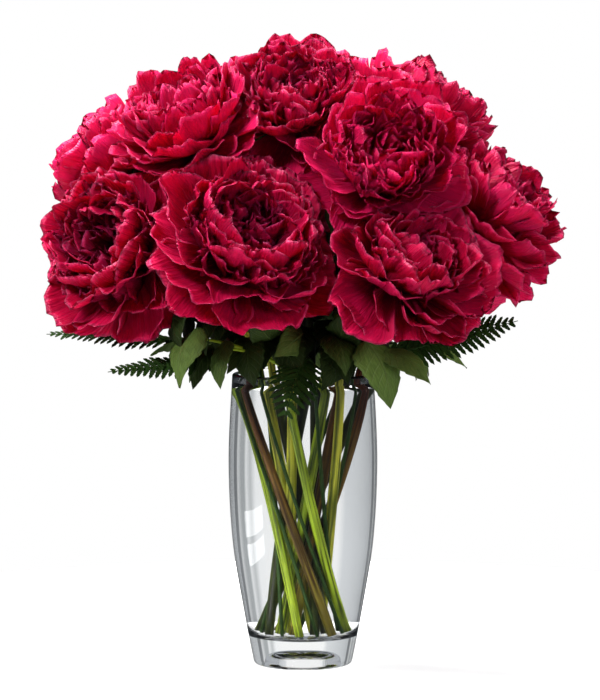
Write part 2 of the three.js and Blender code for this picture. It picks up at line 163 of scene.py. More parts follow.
# Leaflets: the stem they grow on, base, tip and half width
LEAFLETS = [
    ("front_left", (-80, -66, 268), (-93, -84, 223), 21),
    ("front_left", (-58, -66, 258), (-62, -84, 222), 12),
    ("front_right", (48, -66, 258), (66, -82, 207), 21),
    ("front_right", (62, -66, 250), (96, -86, 226), 13),
    ("left", (-80, -40, 252), (-116, -62, 246), 13),
    ("top", (2, -50, 264), (-22, -80, 246), 14),
    ("upper_right", (22, -56, 262), (32, -86, 232), 14),
    ("right", (82, -6, 252), (128, -4, 232), 15),
    ("right", (78, 8, 250), (100, 36, 222), 14),
    ("back_right", (64, 52, 252), (92, 78, 216), 17),
    ("back_middle", (8, 80, 252), (22, 108, 216), 17),
    ("back_middle", (-10, 76, 250), (-34, 96, 224), 13),
    ("back_left", (-64, 56, 252), (-92, 78, 214), 18),
]

# Leaves at the front of the rim, in the same way, painted dark as shade
RIM_LEAVES = [
    ("front_left", (-40, -58, 258), (-36, -74, 222), 15),
    ("left", (-62, -44, 256), (-84, -60, 220), 17),
    ("top", (-14, -54, 262), (-2, -72, 228), 15),
    ("upper_right", (22, -52, 262), (34, -72, 224), 16),
    ("front_right", (28, -58, 254), (14, -72, 220), 14),
    ("back_top", (-30, -40, 258), (-58, -60, 232), 15),
    ("far_right", (50, -34, 258), (74, -54, 232), 14),
    ("left", (-94, -50, 288), (-90, -72, 248), 17),
    ("upper_left", (-66, -48, 286), (-74, -64, 246), 17),
    ("left", (-82, -42, 292), (-85, -56, 250), 18),
    ("upper_left", (-58, -42, 284), (-65, -58, 246), 16),
]

# Leaves higher up on each stem, as shares of its way, and the collar of leaves behind those at
# the rim, painted dark as shade: azimuths for each stem, from its place at the rim
UPPER_LEAVES = (0.5, 0.6, 0.7, 0.8)
COLLAR = (-13, 9)

# A collar leaf's base, as ranges of radius and height, its tip, with how far it strays aside, and
# half its width. Then an upper leaf's length and half width.
COLLAR_BASE = ((46, 54), (262, 272))
COLLAR_TIP = ((66, 78), (234, 244))
COLLAR_ASIDE = (-12, 12)
COLLAR_WIDTH = (15, 19)
UPPER_LENGTH = (46, 58)
UPPER_WIDTH = (13, 17)

# Leaves: the number of their material on a stem's piece, points along and across one that shows
# in full and one that mostly doesn't, their arch, fold and wave, half their width at the base,
# their teeth and veins, and how much painted shade darkens each kind, from 0 to 1
LEAF_LOOK = 1
LEAF_GRID = (30, 15)
HIDDEN_LEAF_GRID = (14, 11)
LEAF_ARCH = 0.16
LEAF_FOLD = 0.22
LEAF_WAVE = 0.07
LEAF_NECK = 0.6
LEAF_TEETH = 6.5
TOOTH_DEPTH = 0.11
LEAF_VEINS = 7
VEIN_SLANT = 2.2
VEIN_RELIEF = 0.3
RIM_SHADE = 0.8
UPPER_SHADE = 0.6
COLLAR_SHADE = 1.0

# A leaf's stalk ends under its midrib, at a share of its length and this far below it
STALK_REACH = 0.2
STALK_DEPTH = 1.5
STALK_SIDES = 8
STALK_POINTS = 14

# Fronds: place at the rim, start, bend and tip of the blade, half its width, and its upper side
FRONDS = {
    "right": (-30, (66, -30, 244), (110, -40, 256), (164, -52, 272), 21, (0.1, -0.8, 0.6)),
    "left": (168, (-74, 12, 248), (-140, 14, 258), (-201, 6, 258), 20, (0, -0.35, 1)),
    "front_left": (-138, (-66, -46, 240), (-106, -50, 238), (-148, -68, 234), 15, (0, -0.6, 0.8)),
    "front": (-80, (2, -62, 242), (-4, -80, 238), (-14, -92, 200), 24, (0, -0.6, 0.8)),
    "back_right": (60, (40, 66, 242), (66, 104, 246), (84, 140, 232), 20, (0, 0, 1)),
    "back_left": (112, (-28, 68, 242), (-66, 100, 250), (-98, 130, 240), 20, (0, 0, 1)),
}

# A frond's points in its stalk's straight part and bend and in its rib, how far the bend's ends
# keep their direction, and its radius at the tip
FROND_STRAIGHT_POINTS = 10
FROND_BENT_POINTS = 12
RIB_POINTS = 40
FROND_HANDLE = 10
FROND_TIP_RADIUS = 0.3

# A frond's leaflets: the way from one pair to the next, and a leaflet's half width, lobes and
# points along and across
PINNA_STEP = 5.2
PINNA_WIDTH = 3.7
PINNA_LOBES = 5.5
PINNA_GRID = (15, 5)

# Petal layers from the outside in. Lengths, widths and root heights are shares of the head's
# radius. Leans are degrees from its axis at the root, the middle and the tip, with what a bowl
# adds to them, and droop is the layer's share of the head's droop. Then come the height of its
# ruffle, how wide a curve it has across, how ragged its edge is, and points along and across.
Layer = namedtuple("Layer", "count length width root lean bowl_lean droop ruffle cup ragged grid")
LAYERS = [
    Layer(7, 0.97, 0.50, 0.05, (92, 104, 48), (0, 0, 0), 1.0, 0.036, 0.85, 1.1, (13, 23)),
    Layer(8, 1.01, 0.48, 0.06, (82, 88, 28), (0, 0, 0), 0.8, 0.036, 0.80, 1.1, (13, 23)),
    Layer(8, 1.00, 0.46, 0.07, (72, 74, 14), (0, 0, 0), 0.5, 0.034, 0.78, 1.1, (13, 23)),
    Layer(9, 0.95, 0.42, 0.09, (60, 58, 2), (0, -2, -4), 0.2, 0.030, 0.78, 1.0, (12, 21)),
    Layer(9, 0.89, 0.42, 0.10, (52, 45, -12), (10, 6, -8), 0, 0.012, 0.92, 0.4, (12, 19)),
    Layer(9, 0.83, 0.39, 0.11, (47, 37, -24), (15, 13, -2), 0, 0.010, 0.98, 0.4, (12, 17)),
    Layer(8, 0.74, 0.33, 0.12, (41, 28, -28), (20, 20, -2), 0, 0.014, 0.95, 0.6, (11, 13)),
]

# A layer has at least this many petals, and a petal's three leans stray by this many degrees
LEAST_PETALS = 5
LEAN_SPREAD = np.array([0, 4, 14])

# The heart's petals, each a fixed turn from the last. A bowl has more of them, and narrower ones.
HEART_COUNT = 54
HEART_WIDTH = 0.14
HEART_RUFFLE = 0.03
HEART_RAGGED = 1.2
HEART_GRID = (8, 7)
HEART_SPREAD = 0.60
HEART_TURN = 2.4

# A petal's middle line runs past its tip, in short steps. The petal reaches its full width at a
# share of its length, and has one notch in its edge.
MIDLINE_REACH = 1.2
MIDLINE_POINTS = 60
FULL_WIDTH_AT = 0.62
NOTCH_WIDTH = 0.16
PHASES = 9

# Sepals under each bloom
SEPALS = 5
SEPAL_GRID = (10, 9)

PETAL_THICKNESS = 0.45
LEAF_THICKNESS = 0.5
SEPAL_THICKNESS = 0.6
PINNA_THICKNESS = 0.3

# Waves in a petal's edge, in its ruffle and in its creases: size, how fast each runs across and
# along, and which of the petal's nine phases it takes. The twist takes the last.
EDGE_WAVES = [(0.026, 4, 0, 0), (0.017, 9, 0, 1), (0.011, 17, 0, 2)]
RUFFLE_WAVES = [(1, 5, 2, 3), (0.6, 10, 0, 4), (0.4, 18, 0, 5)]
CREASE_WAVES = [(0.015, 4, 6, 6), (0.011, 8, -9, 7), (0.007, 14, 5, 0), (0.005, 23, 3, 1)]
TWIST = 0.012


# Shapes in numbers

def unit(v):
    return v / np.maximum(np.linalg.norm(v, axis=-1, keepdims=True), 1e-9)


def bezier(p0, p1, p2, p3, count):
    t = np.linspace(0, 1, count)[:, None]
    return (1 - t) ** 3 * p0 + 3 * (1 - t) ** 2 * t * p1 + 3 * (1 - t) * t**2 * p2 + t**3 * p3


def arch(p0, p1, p2, count):
    t = np.linspace(0, 1, count)[:, None]
    return (1 - t) ** 2 * p0 + 2 * (1 - t) * t * p1 + t**2 * p2


def blade_data(s, t, tone, depth):
    """The four numbers of each point of a blade: s along, t across, tone and depth, its painted
    shade.
    """
    return np.stack([s, t / 2 + 0.5, np.full_like(s, tone), np.full_like(s, depth)], axis=-1)


class Shape:
    """Points, faces, four numbers a point for its material, and each face's material number."""

    def __init__(self):
        self.points, self.faces, self.data, self.looks = [], [], [], []
        self.count = 0

    def add(self, points, faces, data, look=0):
        self.data.append(np.broadcast_to(data, (*points.shape[:-1], 4)).reshape(-1, 4))
        self.points.append(points.reshape(-1, 3))
        self.faces.append(faces + self.count)
        self.looks.append(np.full(len(faces), look))
        self.count += len(self.points[-1])

    def build(self, name, materials):
        points = np.concatenate(self.points) * MM
        faces = np.concatenate(self.faces)
        mesh = bpy.data.meshes.new(name)
        mesh.vertices.add(len(points))
        mesh.vertices.foreach_set("co", points.ravel())
        mesh.loops.add(faces.size)
        mesh.loops.foreach_set("vertex_index", faces.ravel())
        mesh.polygons.add(len(faces))
        mesh.polygons.foreach_set("loop_start", np.arange(0, faces.size, faces.shape[1]))
        mesh.polygons.foreach_set("material_index", np.concatenate(self.looks))
        mesh.update()
        mesh.attributes.new("data", "FLOAT_COLOR", "POINT")
        mesh.attributes["data"].data.foreach_set("color", np.concatenate(self.data).ravel())
        joined = bmesh.new()
        joined.from_mesh(mesh)
        bmesh.ops.remove_doubles(joined, verts=joined.verts, dist=WELD)
        joined.to_mesh(mesh)
        joined.free()
        mesh.shade_smooth()
        for material in materials:
            mesh.materials.append(material)
        piece = bpy.data.objects.new(name, mesh)
        bpy.context.scene.collection.objects.link(piece)
        return piece


def grid_quads(rows, columns, closed=False):
    """Quads over a grid of points, rows by columns, closed round the columns if asked."""
    width = columns if closed else columns - 1
    i, j = np.meshgrid(np.arange(rows - 1), np.arange(width), indexing="ij")
    i, j = i.ravel() * columns, j.ravel()
    k = (j + 1) % columns
    return np.stack([i + j, i + k, i + columns + k, i + columns + j], axis=1)


def add_blade(shape, grid, data, thickness, look=0):
    """A thin closed blade over a grid of mid points. Both faces share the points of its edge."""
    rows, columns = grid.shape[:2]
    along = np.gradient(grid, axis=0)
    across = np.gradient(grid, axis=1)
    offset = unit(np.cross(across, along)) * thickness / 2
    inner = np.zeros((rows, columns, 1))
    inner[1:-1, 1:-1] = 1
    front = grid + offset * inner
    back = grid - offset * inner
    quads = grid_quads(rows, columns)
    number = np.arange(rows * columns).reshape(rows, columns)
    behind = number + rows * columns
    edge = inner[..., 0] == 0
    behind[edge] = number[edge]
    other = behind.ravel()[quads][:, ::-1]
    points = np.concatenate([front.reshape(-1, 3), back.reshape(-1, 3)])
    both = np.concatenate([data.reshape(-1, 4), data.reshape(-1, 4)])
    used, fresh = np.unique(np.concatenate([quads, other]), return_inverse=True)
    shape.add(points[used], fresh.reshape(-1, 4), both[used], look)


def add_tube(shape, path, radii, sides, data):
    """A round tube along a path, closed at its ends, with a radius at each point."""
    tangent = unit(np.gradient(path, axis=0))
    askew = [0.31, 0.17, 0.93]
    normals = [unit(np.cross(tangent[0], askew))]
    for t in tangent[1:]:
        normals.append(unit(normals[-1] - t * np.dot(normals[-1], t)))
    normals = np.array(normals)[:, None]
    binormals = np.cross(tangent, normals[:, 0])[:, None]
    angle = np.linspace(0, 2 * math.pi, sides, endpoint=False)[None, :, None]
    radii = np.broadcast_to(radii, (len(path),))[:, None, None]
    points = path[:, None] + (normals * np.cos(angle) + binormals * np.sin(angle)) * radii
    low_end = np.repeat(path[:1, None], sides, axis=1)
    high_end = np.repeat(path[-1:, None], sides, axis=1)
    points = np.concatenate([low_end, points, high_end])
    shape.add(points, grid_quads(len(path) + 2, sides, closed=True), data)


# The bunch's layout, as in the CAD

def line_at(ring, rim_at, height):
    """A straight stem's point at a height, from its ring and its azimuth at the rim."""
    waist, rim, turn = ring
    rise = RIM_HEIGHT - WAIST_HEIGHT
    slope = math.sqrt(rim**2 - waist**2) / rise
    angle = math.radians(rim_at) - turn * math.atan2(slope * rise, waist)
    drift = turn * slope * (height - WAIST_HEIGHT)
    return np.array([
        waist * math.cos(angle) - drift * math.sin(angle),
        waist * math.sin(angle) + drift * math.cos(angle),
        height,
    ])


def head_frame(bloom):
    """A head's own axes, the last one the way that it faces, and the point its petals grow from."""
    azimuth, elevation = np.radians(bloom.faces)
    axis = np.array([
        math.cos(azimuth) * math.cos(elevation),
        math.sin(azimuth) * math.cos(elevation),
        math.sin(elevation),
    ])
    level = np.array([-math.sin(azimuth), math.cos(azimuth), 0])
    root = np.array(bloom.centre) - HEAD_CENTRE * bloom.radius * axis
    return np.array([level, np.cross(axis, level), axis]), root


def stem_path(bloom):
    """A stem's middle line: straight from the floor to the rim, then bent to its head."""
    turn, root = head_frame(bloom)
    axis = turn[2]
    core_bottom = CORE_HEIGHT - CORE_RADIUS * CORE_STRETCH
    tip = root + axis * (bloom.radius * core_bottom - TIP_GAP)
    foot = line_at(bloom.ring, bloom.rim_at, FLOOR_HEIGHT + FOOT_LIFT)
    rim = line_at(bloom.ring, bloom.rim_at, BEND_START)
    handle = np.linalg.norm(rim - tip) * BEND_HANDLE
    upper = bezier(rim, rim + unit(rim - foot) * handle, tip - axis * handle, tip, BENT_POINTS)
    lower = foot + (rim - foot) * np.linspace(0, 1, STRAIGHT_POINTS, endpoint=False)[:, None]
    return np.concatenate([lower, upper])


STEM_PATHS = {name: stem_path(bloom) for name, bloom in BLOOMS.items()}


def walls_of(name):
    """Planes that a head stays within: near halfway to each neighbour, and short of other stems."""
    bloom = BLOOMS[name]
    own = np.array(bloom.centre, float)
    walls = []
    for other_name, other in BLOOMS.items():
        if other_name == name:
            continue
        towards = np.array(other.centre) - own
        apart = np.linalg.norm(towards)
        share = (apart**2 + bloom.radius**2 - other.radius**2) / (2 * apart)
        walls.append((towards / apart, share + HEAD_OVERLAP))
        path = STEM_PATHS[other_name]
        nearest = path[np.argmin(np.linalg.norm(path - own, axis=1))] - own
        distance = np.linalg.norm(nearest)
        walls.append((nearest / distance, distance - STEM_MARGIN))
    return [wall for wall in walls if wall[1] < HEAD_REACH * bloom.radius]


def drawn_in(points, bloom, walls):
    """Draws points in towards the head's centre where a wall is near."""
    own = np.array(bloom.centre, float)
    ray = points - own
    direction = unit(ray)
    reach = HEAD_REACH * bloom.radius
    total = np.ones(points.shape[:-1])
    for normal, distance in walls:
        facing = np.maximum(direction @ normal, 0)
        total += (facing * reach / distance) ** WALL_POWER
    return own + ray * total[..., None] ** (-1 / WALL_POWER)


# Petals

def drawn_phases(draw):
    return draw.uniform(0, 6.28, PHASES)


def waves(table, s, t, phases, wave=np.sin):
    return sum(size * wave(across * t + along * s + phases[k]) for size, across, along, k in table)


def midline(petal, along):
    """How far out, how far up and how far leaning a petal's middle is, at shares of its length."""
    u = np.linspace(0, MIDLINE_REACH, MIDLINE_POINTS)
    first, second, third = petal["lean"]
    lean = (1 - u) ** 2 * first + 2 * u * (1 - u) * second + u**2 * third
    step = petal["length"] * petal["size"] * np.gradient(u)
    out = petal["out"] + np.concatenate([[0], np.cumsum((np.sin(lean) * step)[:-1])])
    up = petal["root"] + np.concatenate([[0], np.cumsum((np.cos(lean) * step)[:-1])])
    return (np.interp(along, u, values) for values in (out, up, lean))


def petal_grid(petal):
    """One petal in shares of the head's radius, in the head's frame, with s along and t across."""
    rows, columns = petal["grid"]
    even = np.linspace(-1, 1, columns)
    closer_at_edges = 0.4 * even + 0.6 * np.sin(math.pi / 2 * even)
    s, t = np.meshgrid(np.linspace(0, 1, rows) ** 0.8, closer_at_edges, indexing="ij")
    phases = petal["phases"]
    tip = 1 - petal["rounding"] * (1 - np.sqrt(1 - 0.985 * t**2))
    tip -= petal["ragged"] * waves(EDGE_WAVES, s, t, phases)
    tip -= petal["notch"] * np.exp(-((t - petal["split"]) / NOTCH_WIDTH) ** 2)
    along = s * tip
    out, up, lean = midline(petal, along)
    widening = np.sin(math.pi / 2 * np.minimum(1, along / FULL_WIDTH_AT)) ** 0.9
    half = petal["width"] * petal["size"] * widening
    half = np.minimum(half, petal["sector"] * (out + 0.03))
    bend = np.maximum(out, petal["least_bend"]) * petal["cup"]
    around = t * half / bend
    inward = bend * (1 - np.cos(around)) + petal["slant"] * t * s
    inward += petal["ruffle"] * s**3 * waves(RUFFLE_WAVES, s, t, phases)
    inward += s * waves(CREASE_WAVES, s, t, phases, np.cos)
    inward += TWIST * np.sin(5 * s + phases[8]) * t + petal["curl"] * np.abs(t) ** 3 * s
    reach = out - inward * np.cos(lean)
    height = up + inward * np.sin(lean)
    side = bend * np.sin(around) + petal["sway"] * s**2
    c, n = math.cos(petal["around"]), math.sin(petal["around"])
    grid = np.stack([reach * c - side * n, reach * n + side * c, height], axis=-1)
    return grid, s, t


def layer_petals(bloom, draw):
    """What is drawn for each petal of a head's layers."""
    for number, layer in enumerate(LAYERS):
        leans = np.array(layer.lean) + bloom.bowl * np.array(layer.bowl_lean)
        leans = leans + bloom.droop * layer.droop
        count = max(LEAST_PETALS, round(layer.count * bloom.detail))
        start = draw.uniform(0, 2 * math.pi)
        for k in range(count):
            yield dict(
                length=layer.length, width=layer.width, ragged=layer.ragged, grid=layer.grid,
                around=start + 2 * math.pi * (k + 0.5 * draw.uniform(-0.5, 0.5)) / count,
                lean=np.radians(leans + draw.normal(0, 5) + LEAN_SPREAD * draw.normal(0, 1, 3)),
                size=draw.uniform(0.84, 1.07),
                rounding=draw.uniform(0.36, 0.50),
                notch=draw.uniform(0, 0.07),
                split=draw.uniform(-0.3, 0.3),
                out=0.05, root=layer.root, sector=1.5 * math.tan(math.pi / count), least_bend=0.2,
                cup=layer.cup * draw.uniform(0.9, 1.15),
                slant=draw.choice([-1, 1], p=[0.25, 0.75]) * draw.uniform(0.05, 0.12),
                ruffle=layer.ruffle * draw.uniform(0.6, 1.4),
                curl=draw.uniform(-0.04, 0.05),
                sway=draw.normal(0, 0.03),
                phases=drawn_phases(draw),
                # tone: random, raised by the head's painted glow, which is painted light
                tone=draw.uniform(0, 1) + bloom.glow,
                # Inner layers lie deeper and take a little painted shade
                depth=number / len(LAYERS) * 0.7,
            )


def heart_petals(bloom, draw):
    """What is drawn for each petal of a head's heart, from its middle out."""
    count = round(HEART_COUNT * bloom.detail * (1 + 0.75 * bloom.bowl))
    # The heart's painted shade: deeper in a bowl, lighter in a head with painted glow
    dark = (0.78 + 0.22 * bloom.bowl) * (1 - 0.3 * bloom.glow)
    for k in range(count):
        share = math.sqrt((k + 0.6) / count)
        lean = 6 + 22 * share
        yield dict(
            length=(0.42 + 0.12 * share) * bloom.fullness,
            width=HEART_WIDTH * (1 - 0.36 * bloom.bowl), ragged=HEART_RAGGED, grid=HEART_GRID,
            around=HEART_TURN * k + draw.normal(0, 0.25),
            lean=np.radians([lean, lean + draw.normal(0, 8), draw.normal(-14, 14)]),
            size=draw.uniform(0.85, 1.08),
            rounding=draw.uniform(0.2, 0.4),
            notch=draw.uniform(0, 0.16),
            split=draw.uniform(-0.3, 0.3),
            out=0.02 + HEART_SPREAD * share * (0.6 + 0.2 * bloom.bowl),
            root=0.18, sector=9, least_bend=0.07,
            cup=draw.uniform(0.5, 1.0),
            slant=draw.normal(0, 0.08),
            ruffle=HEART_RUFFLE * draw.uniform(0.6, 1.5),
            curl=draw.uniform(-0.05, 0.1),
            sway=draw.normal(0, 0.05),
            phases=drawn_phases(draw),
            # tone: random, raised by the head's painted glow, which is painted light
            tone=draw.uniform(0, 1) + bloom.glow,
            depth=dark * (0.7 + 0.3 * (1 - share)),
        )


def bloom_head(name):
    bloom = BLOOMS[name]
    draw = np.random.default_rng(bloom.seed)
    turn, root = head_frame(bloom)
    walls = walls_of(name)
    shape = Shape()
    for petal in [*layer_petals(bloom, draw), *heart_petals(bloom, draw)]:
        grid, s, t = petal_grid(petal)
        points = drawn_in(root + bloom.radius * HEAD_GROWTH * grid @ turn, bloom, walls)
        add_blade(shape, points, blade_data(s, t, petal["tone"], petal["depth"]), PETAL_THICKNESS)
    piece = shape.build("peony_" + name, [PETAL])
    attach(piece, "root")
    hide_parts("bloom_" + name)


# Stems with their leaves and sepals

def leaf_blade(shape, base, tip, width, draw, outward, size, shade):
    """A leaf's blade, arched, folded at its midrib and veined. Returns where its stalk ends."""
    along = tip - base
    length = np.linalg.norm(along)
    across = unit(np.cross(along, outward))
    face = unit(np.cross(across, along))
    tone = draw.uniform(0, 1)
    s, t = np.meshgrid(np.linspace(0, 1, size[0]), np.linspace(-1, 1, size[1]), indexing="ij")
    teeth = 1 - TOOTH_DEPTH * (LEAF_TEETH * s % 1) * np.abs(t) ** 2
    half = width * teeth * np.sin(math.pi * s**0.66) ** 1.05 + LEAF_NECK * (1 - s)
    arching = LEAF_ARCH * length
    comb = np.cos(2 * math.pi * (LEAF_VEINS * s - VEIN_SLANT * np.abs(t)))
    veins = VEIN_RELIEF * comb * np.minimum(1, 4 * np.abs(t))
    wave = LEAF_WAVE * width * np.sin(9 * s + 5 * tone) * np.abs(t) ** 2 * np.sign(t)
    height = arching * np.sin(math.pi * s) - LEAF_FOLD * half * np.abs(t) ** 0.8
    height = height + veins * (1 - s) + wave
    grid = base + along * s[..., None] + across * (half * t)[..., None] + face * height[..., None]
    add_blade(shape, grid, blade_data(s, t, tone, shade), LEAF_THICKNESS, look=LEAF_LOOK)
    lift = arching * math.sin(math.pi * STALK_REACH) - STALK_DEPTH
    return base + along * STALK_REACH + face * lift


def leaflet(shape, path, base, tip, width, draw, size=LEAF_GRID, shade=0.0):
    """A leaf with its stalk from the stem."""
    base, tip = np.array(base, float), np.array(tip, float)
    end = leaf_blade(shape, base, tip, width, draw, unit(base * [1, 1, 0]), size, shade)
    rim = path[STRAIGHT_POINTS]
    stalk = arch(rim, (rim + base) / 2 + [0, 0, 4], end, STALK_POINTS)
    radii = np.linspace(1.5, 1.0, STALK_POINTS)
    add_tube(shape, stalk, radii, STALK_SIDES, (0.5, 0.5, 0.5, 0.3))


def collar_leaves(shape, path, rim_at, draw):
    """Leaves round the rim, painted dark as shade, which close the view between the stems under the
    heads.
    """
    for turn in COLLAR:
        azimuth = math.radians(rim_at + turn + draw.uniform(-4, 4))
        out = np.array([math.cos(azimuth), math.sin(azimuth), 0])
        side = np.array([-out[1], out[0], 0])
        radius, height = COLLAR_BASE
        base = out * draw.uniform(*radius) + [0, 0, draw.uniform(*height)]
        radius, height = COLLAR_TIP
        tip = out * draw.uniform(*radius) + side * draw.uniform(*COLLAR_ASIDE)
        tip = tip + [0, 0, draw.uniform(*height)]
        width = draw.uniform(*COLLAR_WIDTH)
        leaflet(shape, path, base, tip, width, draw, HIDDEN_LEAF_GRID, COLLAR_SHADE)


def upper_leaves(shape, path, draw):
    """Leaves on the stem between rim and bloom, painted dark as shade in the gaps between the
    heads.
    """
    for share in UPPER_LEAVES:
        k = int(share * (len(path) - 1))
        tangent = unit(path[k + 1] - path[k - 1])
        aside = unit(np.cross(tangent, draw.normal(0, 1, 3)))
        heading = unit(0.75 * tangent + 0.8 * aside)
        base = path[k] + heading * 2
        tip = base + heading * draw.uniform(*UPPER_LENGTH)
        width = draw.uniform(*UPPER_WIDTH)
        outward = aside - 0.5 * tangent
        leaf_blade(shape, base, tip, width, draw, outward, HIDDEN_LEAF_GRID, UPPER_SHADE)


def sepals(shape, name, draw):
    bloom = BLOOMS[name]
    turn, root = head_frame(bloom)
    walls = walls_of(name)
    for k in range(SEPALS):
        grid, s, t = petal_grid(dict(
            length=0.42, width=0.17, ragged=0.2, grid=SEPAL_GRID,
            around=2 * math.pi * k / SEPALS + 0.3,
            lean=np.radians([76, 104 + draw.normal(0, 6), 96 + draw.normal(0, 10)]),
            size=1, rounding=0.55, notch=0, split=0, out=0.02, root=-0.045, sector=9,
            least_bend=0.3, cup=1, slant=0, ruffle=0.004, curl=0, sway=0,
            phases=drawn_phases(draw),
        ))
        points = drawn_in(root + bloom.radius * grid @ turn, bloom, walls)
        add_blade(shape, points, blade_data(s, t, 0.8, 0.0), SEPAL_THICKNESS, look=LEAF_LOOK)


def add_stem(shape, name, draw):
    """The stem itself, which tapers, swells at one knot, and widens under its bloom."""
    path = STEM_PATHS[name]
    share = np.linspace(0, 1, len(path))
    ripple = STEM_RIPPLE * np.sin(9 * share + BLOOMS[name].seed)
    radii = STEM_RADIUS * (1 - STEM_TAPER * share + ripple)
    radii = radii + KNOT_RISE * np.exp(-((share - KNOT_AT) / KNOT_LENGTH) ** 2)
    radii[-3:] = [STEM_RADIUS, STEM_RADIUS * 1.35, CALYX_RADIUS]
    along = np.concatenate([[0], share, [1]])[:, None]
    across = np.abs(np.linspace(-1, 1, STEM_SIDES, endpoint=False))
    data = np.stack(np.broadcast_arrays(along, across, draw.uniform(0, 1), along), axis=-1)
    add_tube(shape, path, radii, STEM_SIDES, data)


def stem(name):
    bloom = BLOOMS[name]
    draw = np.random.default_rng(bloom.seed + 100)
    path = STEM_PATHS[name]
    shape = Shape()
    add_stem(shape, name, draw)
    sepals(shape, name, draw)
    for leaves, shade in ((LEAFLETS, 0.0), (RIM_LEAVES, RIM_SHADE)):
        for on, base, tip, width in leaves:
            if on == name:
                leaflet(shape, path, base, tip, width, draw, shade=shade)
    upper_leaves(shape, path, draw)
    collar_leaves(shape, path, bloom.rim_at, draw)
    piece = shape.build("stem_and_leaves_" + name, [STEMS[bloom.stem_colour], LEAF])
    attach(piece, "root")
    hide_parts("stem_" + name)


# Fern

def pinna(shape, at, heading, face, reach, fullness, draw):
    """One lobed leaflet of a frond."""
    rows, columns = PINNA_GRID
    s, t = np.meshgrid(np.linspace(0, 1, rows), np.linspace(-1, 1, columns), indexing="ij")
    lobes = 0.62 + 0.38 * np.abs(np.sin(math.pi * PINNA_LOBES * s)) ** 0.7
    rounding = np.minimum(1, 8 * (1 - s) + 0.05)
    half = PINNA_WIDTH * (1 - 0.66 * s) * lobes * rounding * fullness
    crosswise = unit(np.cross(face, heading))
    lift = -0.006 * (s * reach) ** 2 + 0.25 * np.abs(t) * half + draw.normal(0, 0.05) * s * reach
    grid = at + heading * (s * reach)[..., None] + crosswise * (half * t)[..., None]
    grid = grid + face * lift[..., None]
    add_blade(shape, grid, blade_data(s, t, draw.uniform(0, 1), 0.0), PINNA_THICKNESS)


def frond(name):
    rim_at, start, bend, tip, width, upper = FRONDS[name]
    start, bend, tip, upper = (np.array(p, float) for p in (start, bend, tip, upper))
    draw = np.random.default_rng(sum(map(ord, name)))
    shape = Shape()
    foot = line_at(OUTER, rim_at, FLOOR_HEIGHT + FOOT_LIFT)
    rim = line_at(OUTER, rim_at, RIM_HEIGHT)
    lower = foot + (rim - foot) * np.linspace(0, 1, FROND_STRAIGHT_POINTS, endpoint=False)[:, None]
    leave = rim + unit(rim - foot) * FROND_HANDLE
    arrive = start - unit(bend - start) * FROND_HANDLE
    stalk = np.concatenate([lower, bezier(rim, leave, arrive, start, FROND_BENT_POINTS)])
    rib = arch(start, bend, tip, RIB_POINTS)
    path = np.concatenate([stalk, rib[1:]])
    taper = np.linspace(STALK_RADIUS, FROND_TIP_RADIUS, RIB_POINTS - 1)
    radii = np.concatenate([np.full(len(stalk), STALK_RADIUS), taper])
    add_tube(shape, path, radii, STALK_SIDES, (0.3, 0.5, 0.5, 0.6))
    length = np.linalg.norm(np.diff(rib, axis=0), axis=1).sum()
    pairs = int(length / PINNA_STEP)
    for k in range(pairs):
        u = (k + 0.5) / pairs * 0.97
        at = (1 - u) ** 2 * start + 2 * u * (1 - u) * bend + u**2 * tip
        tangent = unit(2 * (1 - u) * (bend - start) + 2 * u * (tip - bend))
        level = unit(np.cross(upper, tangent))
        face = np.cross(tangent, level)
        outline = math.sin(math.pi * (0.22 + 0.74 * u)) ** 0.9
        reach = width * outline * draw.uniform(0.92, 1.05)
        for side in (-1, 1):
            heading = unit(level * side + tangent * (0.42 + 0.35 * u))
            pinna(shape, at, heading, face, reach, 0.55 + 0.45 * reach / width, draw)
    piece = shape.build("fern_frond_" + name, [FERN])
    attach(piece, "root")
    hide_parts("fern_" + name)


# Vase and water

def outside(count):
    """The vase's outer curve: a Catmull-Rom spline through its five points."""
    points = np.array(OUTSIDE, float)
    last = len(points) - 1
    made = []
    for x in np.linspace(0, last, count):
        k = min(int(x), last - 1)
        t = x - k
        before, here, there = points[max(k - 1, 0)], points[k], points[k + 1]
        after = points[min(k + 2, last)]
        v0, v1 = (there - before) / 2, (after - here) / 2
        cubic, square = 2 * here - 2 * there + v0 + v1, 3 * there - 3 * here - 2 * v0 - v1
        made.append(cubic * t**3 + square * t**2 + v0 * t + here)
    return np.array(made)


def outside_radius(height):
    curve = outside(81)
    return np.interp(height, curve[:, 1], curve[:, 0])


def inside(top, inset):
    """The inside from the floor's middle up to a height, drawn in by inset."""
    floor = FLOOR_HEIGHT + inset
    corner = arch(
        np.array([FLAT_RADIUS, floor]),
        np.array([CORNER_RADIUS - inset, floor]),
        np.array([outside_radius(CORNER_TOP) - VASE_WALL - inset - CORNER_EASE, CORNER_TOP]),
        CORNER_POINTS,
    )
    heights = np.linspace(WALL_START, top, WALL_POINTS)
    return [
        *((radius, floor) for radius in np.linspace(0, FLAT_RADIUS, FLAT_POINTS)[:-1]),
        *corner,
        *((outside_radius(height) - VASE_WALL - inset, height) for height in heights),
    ]


def turned(name, profile, material):
    """A closed profile turned about the axis. Points on the axis are shared."""
    profile = np.array(profile, float)
    angle = np.linspace(0, 2 * math.pi, LATHE_SIDES, endpoint=False)
    points = np.stack([
        profile[:, :1] * np.cos(angle),
        profile[:, :1] * np.sin(angle),
        np.repeat(profile[:, 1:], LATHE_SIDES, axis=1),
    ], axis=-1)
    shape = Shape()
    shape.add(points, grid_quads(len(profile), LATHE_SIDES, closed=True), (0, 0, 0, 0))
    piece = shape.build(name, [material])
    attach(piece, "root")
    return piece


